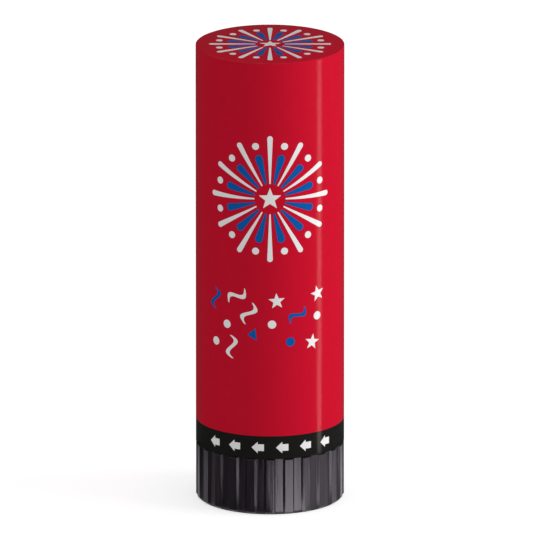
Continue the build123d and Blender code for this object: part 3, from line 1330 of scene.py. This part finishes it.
@dataclass
class MainSpring:
    """The compression spring, which stretches between its seat and the push plate."""

    wire: float = 1.3
    turns: int = 9
    end_closing: float = 0.25
    ground_share: float = 0.25
    steps_a_turn: int = 40
    wire_sides: int = 14

    def wind(self, low: Vector, high: Vector) -> bpy.types.Object:
        """Wind the wire in a helix that closes up towards its flat-ground ends.

        Args:
            low: the spring's lowest corner.
            high: its highest corner.

        Returns:
            The spring, with each point's share of the rise as its attribute "stretch".
        """
        shapes = ShapeTree("main_spring_wire")
        ground = self.wire * self.ground_share
        radius = shapes.length("Coil radius", (high.x - low.x) / MM / 2 - self.wire / 2)
        rise = shapes.length("Coil rise", (high.z - low.z) / MM - 2 * ground)
        bottom = shapes.length("Coil bottom", low.z / MM + ground)
        helix = shapes.add(
            "GeometryNodeCurveSpiral",
            {
                "Resolution": self.steps_a_turn,
                "Rotations": shapes.value("Turns", float(self.turns)),
                "Start Radius": radius,
                "End Radius": radius,
                "Height": rise,
            },
        )
        along = shapes.add("GeometryNodeSplineParameter")
        phase = shapes.add("ShaderNodeMath", {0: along, 1: FULL_TURN}, operation="MULTIPLY")
        swing = shapes.add("ShaderNodeMath", {0: phase}, operation="SINE")
        closing = -self.end_closing / FULL_TURN
        share = shapes.add("ShaderNodeMath", {0: swing, 1: closing, 2: along}, operation="MULTIPLY_ADD")
        marked = shapes.add(
            "GeometryNodeStoreNamedAttribute",
            {"Geometry": helix, "Name": "stretch", "Value": share},
            data_type="FLOAT",
            domain="POINT",
        )
        height = shapes.add("ShaderNodeMath", {0: share, 1: rise, 2: bottom}, operation="MULTIPLY_ADD")
        section = shapes.add(
            "GeometryNodeCurvePrimitiveCircle",
            {"Resolution": self.wire_sides, "Radius": shapes.length("Wire radius", self.wire / 2)},
        )
        wire = shapes.add(
            "GeometryNodeCurveToMesh",
            {"Curve": shapes.raise_to(marked, height), "Profile Curve": section, "Fill Caps": True},
        )
        *_, z = shapes.axes()
        level = shapes.add(
            "ShaderNodeClamp",
            {
                "Value": z,
                "Min": shapes.length("Ground bottom", low.z / MM),
                "Max": shapes.length("Ground top", high.z / MM),
            },
        )
        spring = shapes.piece(shapes.raise_to(wire, level), STEEL)
        spring.data.shade_smooth()
        return spring

    def build(self) -> None:
        """Wind the spring and let it stretch with the plunger, its wire staying round."""
        low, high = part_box("main_spring")
        spring = self.wind(low, high)
        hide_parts("main_spring")
        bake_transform(spring, "tube_body", "plunger", start=(0, 0, low.z), end=(0, 0, high.z))
        attributes = spring.data.attributes
        shares = [0.0] * len(spring.data.vertices)
        attributes["stretch"].data.foreach_get("value", shares)
        attributes["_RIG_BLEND"].data.foreach_set("value", shares)
        log_piece(spring, "tube_body and plunger")


@dataclass
class ReleaseStem:
    """The stem that holds the plunger down: a headed blade, and legs that the base's cam squeezes."""

    leg_root: float = 23.2
    squeeze: float = 0.66

    def half(self, name: str, keep_legs: bool) -> bpy.types.Object:
        """Cut the stem at the root of its legs.

        Args:
            name: the piece's name.
            keep_legs: whether the legs are kept, or the headed blade.

        Returns:
            One closed half.
        """
        form = bmesh.new()
        form.from_mesh(frame["nodes"]["release_stem"].data)
        bmesh.ops.remove_doubles(form, verts=form.verts, dist=WELD)
        cut = bmesh.ops.bisect_plane(
            form,
            geom=form.verts[:] + form.edges[:] + form.faces[:],
            plane_co=(0, 0, self.leg_root * MM),
            plane_no=(0, 0, 1),
            clear_inner=not keep_legs,
            clear_outer=keep_legs,
        )
        rim = [part for part in cut["geom_cut"] if isinstance(part, bmesh.types.BMEdge)]
        bmesh.ops.holes_fill(form, edges=rim)
        return smooth_piece(form, name, [STEM_PLASTIC])

    def build(self) -> None:
        """Build both halves, each on the plunger; the legs get a mesh of their own."""
        settle(self.half("stem_head", False), "plunger", "stem_plastic", "release_stem")
        legs = self.half("stem_legs", True)
        settle(legs, "plunger", "stem_plastic", "release_stem")
        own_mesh(legs)


@dataclass
class Mechanism:
    """The pieces that keep their CAD shape: tube, wad, push plate, spring seat and twist base."""

    tube: Finish = TUBE_CARD
    wad_disc: Finish = BOARD
    push_plate: Finish = PLATE_PLASTIC
    spring_seat: Finish = SEAT_PLASTIC
    twist_base: Finish = BLACK_PLASTIC

    def build(self) -> None:
        """Dress each piece."""
        for node, finish in vars(self).items():
            dress_node(node, finish)


class CardLevel(Enum):
    """How bright a card looks in a reflection, where white paper is one."""

    DARK = 0.04
    DIM = 0.13
    GREY = 0.6
    LIT = 1.1
    SOFTBOX = 4.8
    STRIP = 4.4


class CardColour(Enum):
    """The colour of a card."""

    NEUTRAL = "#FFFFFF"
    WARM_WHITE = "#FFF1E6"
    VIOLET_WHITE = "#FFF7FE"


def show_in_reflections(
    form: bmesh.types.BMesh, name: str, level: CardLevel, colour: CardColour, mirror: str = ""
) -> None:
    """Put a card on the stage, seen by reflections alone.

    Args:
        form: its shape, which is used up.
        name: its name.
        level: how bright it looks.
        colour: its colour.
        mirror: the CAD node that alone mirrors it, if one does.
    """
    material = new_material(name)
    tree = material.node_tree
    glow = {"Color": linear(colour.value), "Strength": level.value}
    add_node(tree, "ShaderNodeOutputMaterial", {"Surface": add_node(tree, "ShaderNodeEmission", glow)})
    card = put_in_scene(name, plain_mesh(form, name))
    card.data.materials.append(material)
    card.visible_camera = False
    card.visible_diffuse = False
    card.visible_transmission = False
    card.visible_shadow = False
    if mirror:
        mirrors = bpy.data.collections.new(f"{name}_mirrors")
        mirrors.objects.link(frame["nodes"][mirror])
        card.light_linking.receiver_collection = mirrors


@dataclass(frozen=True)
class ReflectorCard:
    """A card on the table that only reflections show.

    It lies where the popper's skin mirrors it to the camera, between two directions in degrees to the right
    of the front and between two heights. Where a CAD node is named, no other piece mirrors it.
    """

    name: str
    level: CardLevel
    colour: CardColour
    directions: Span
    heights: Span
    mirror: str = ""
    lift: float = 0.4
    facet: float = 3.0

    def build(self, radius: float, elevation: float) -> None:
        """Lay the card.

        Args:
            radius: the radius of the popper.
            elevation: how far the camera is above level.
        """
        fall = math.tan(math.radians(elevation))
        start, end = self.directions
        steps = math.ceil((end - start) / self.facet)
        form = bmesh.new()
        rows = []
        for step in range(steps + 1):
            turn = math.radians(start + (end - start) * step / steps)
            skin = Vector((radius * math.sin(turn), -radius * math.cos(turn), self.lift))
            # the skin turned this far mirrors what lies twice as far round
            away = Vector((math.sin(2 * turn), -math.cos(2 * turn), 0)) / fall
            rows.append([form.verts.new((skin + away * z) * MM) for z in self.heights])
        for row, after in zip(rows, rows[1:]):
            form.faces.new((row[0], after[0], after[1], row[1]))
        show_in_reflections(form, self.name, self.level, self.colour, self.mirror)


def seen_directly(tree: bpy.types.NodeTree) -> bpy.types.Node:
    """Add what is one for camera, glossy and transmission rays, and nothing for light.

    Args:
        tree: the tree of the world or of a material.

    Returns:
        The node that gives it.
    """
    path = add_node(tree, "ShaderNodeLightPath").outputs
    rays = {0: path["Is Glossy Ray"], 1: path["Is Transmission Ray"]}
    mirrored = add_node(tree, "ShaderNodeMath", rays, operation="MAXIMUM")
    return add_node(tree, "ShaderNodeMath", {0: path["Is Camera Ray"], 1: mirrored}, operation="MAXIMUM")


@dataclass
class Studio:
    """Camera, light, floor and what the popper mirrors, as the photograph was framed and lit."""

    elevation: float = 15.9
    lens: float = 1500.0
    sensor: float = 36.0
    frame_width: float = 126.85
    aim_height: float = 54.9
    fill: float = 0.5
    key_turn: float = 80.0
    key_distance: float = 800.0
    key_height: float = 200.0
    key_size: tuple[float, float] = (500.0, 200.0)
    key_power: float = 3.4
    floor_size: float = 6000.0
    floor_colour: str = "#F2F2F2"
    floor_glow: float = 0.58
    tent_room: float = 1.05
    tent_lift: float = 0.2
    tent_radius: float = 500.0
    tent_height: float = 450.0
    tent_sides: int = 48
    strip_reach: float = 1.1
    strip_directions: Span = (39.7, 43.5)
    base_directions: tuple[float, ...] = (-90.0, -52.0, 2.0, 29.0, 90.0)

    def point(self, thing: bpy.types.Object, place: Vector) -> None:
        """Put a camera or a lamp in its place and point it at the popper.

        Args:
            thing: the camera or lamp.
            place: where it goes, in millimetres.
        """
        thing.location = place * MM
        aim = Vector((0, 0, self.aim_height)) - place
        thing.rotation_euler = aim.to_track_quat("-Z", "Y").to_euler()

    def camera(self) -> None:
        """Set a long lens at the photograph's height."""
        data = bpy.data.cameras.new("camera")
        data.lens = self.lens
        data.sensor_width = self.sensor
        camera = put_in_scene("camera", data)
        tilt = math.radians(self.elevation)
        back = Vector((0, -math.cos(tilt), math.sin(tilt)))
        distance = self.frame_width * self.lens / self.sensor
        self.point(camera, Vector((0, 0, self.aim_height)) + back * distance)
        bpy.context.scene.camera = camera

    def world(self) -> None:
        """Fill with even light, and show plain white where the background is seen."""
        world = bpy.data.worlds.new("studio_white")
        world.use_nodes = True
        tree = world.node_tree
        tree.nodes.clear()
        white_light = linear("#FFFFFF")
        light = add_node(tree, "ShaderNodeBackground", {"Color": white_light, "Strength": self.fill})
        white = add_node(tree, "ShaderNodeBackground", {"Color": white_light, "Strength": 1.0})
        mixed = add_node(tree, "ShaderNodeMixShader", {0: seen_directly(tree), 1: light, 2: white})
        add_node(tree, "ShaderNodeOutputWorld", {"Surface": mixed})
        bpy.context.scene.world = world

    def floor(self) -> None:
        """Lay a pale floor that looks white and keeps the popper's shadow."""
        half = self.floor_size * MM / 2
        corners = [(-half, -half, 0), (half, -half, 0), (half, half, 0), (-half, half, 0)]
        mesh = bpy.data.meshes.new("floor")
        mesh.from_pydata(corners, [], [(0, 1, 2, 3)])
        material = new_material("pale_floor")
        tree = material.node_tree
        seen = seen_directly(tree)
        glow = add_node(tree, "ShaderNodeMath", {0: seen, 1: self.floor_glow}, operation="MULTIPLY")
        white = add_node(tree, "ShaderNodeEmission", {"Strength": glow})
        matt = add_node(tree, "ShaderNodeBsdfDiffuse", {"Color": linear(self.floor_colour)})
        both = add_node(tree, "ShaderNodeAddShader", {0: matt, 1: white})
        add_node(tree, "ShaderNodeOutputMaterial", {"Surface": both})
        mesh.materials.append(material)
        put_in_scene("floor", mesh)

    def key_light(self) -> None:
        """Hang a softbox on the right, low enough to leave the top to the fill."""
        data = bpy.data.lights.new("key_softbox", "AREA")
        data.shape = "RECTANGLE"
        data.size, data.size_y = (side * MM for side in self.key_size)
        data.energy = self.key_power
        lamp = put_in_scene("key_softbox", data)
        turn = math.radians(self.key_turn)
        aside = self.key_distance * math.sin(turn)
        ahead = self.key_distance * math.cos(turn)
        self.point(lamp, Vector((aside, -ahead, self.key_height)))
        lamp.visible_glossy = False

    def tent(self) -> None:
        """Stand a dark tent round the popper, with a dark table in it, for reflections alone."""
        inner = self.tent_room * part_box("twist_base")[1].x / MM
        profile = [
            (inner, self.tent_lift),
            (self.tent_radius, self.tent_lift),
            (self.tent_radius, self.tent_height),
        ]
        form = bmesh.new()
        turn_profile(form, profile, self.tent_sides)
        show_in_reflections(form, "dark_tent", CardLevel.DARK, CardColour.NEUTRAL)

    def cards(self) -> None:
        """Lay cards beside the base, and a narrow strip for the light along the label's edge."""
        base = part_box("twist_base")[1]
        base_top = base.z / MM
        strip_heights = (base_top, self.strip_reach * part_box("label_wrap")[1].z / MM)
        warm, violet = CardColour.WARM_WHITE, CardColour.VIOLET_WHITE
        cards = [ReflectorCard("edge_strip", CardLevel.STRIP, warm, self.strip_directions, strip_heights)]
        beside_base = {
            "base_far_left": CardLevel.GREY,
            "base_left": CardLevel.DIM,
            "base_softbox": CardLevel.SOFTBOX,
            "base_right": CardLevel.LIT,
        }
        spans = zip(self.base_directions, self.base_directions[1:])
        for (name, level), span in zip(beside_base.items(), spans):
            cards.append(ReflectorCard(name, level, violet, span, (0.0, base_top), "twist_base"))
        for card in cards:
            card.build(base.x / MM, self.elevation)

    def build(self) -> None:
        """Set up the whole studio."""
        self.camera()
        self.world()
        self.floor()
        self.key_light()
        self.tent()
        self.cards()
        bpy.context.scene.view_settings.view_transform = "Standard"


def main() -> None:
    """Set up the studio, then build the popper's looks piece by piece."""
    logging.basicConfig(level=logging.INFO, format="%(name)s: %(message)s")
    Studio().build()
    Label().build()
    MuzzleCover().build()
    ConfettiCharge().build()
    MainSpring().build()
    ReleaseStem().build()
    Mechanism().build()


if __name__ == "__main__":
    main()
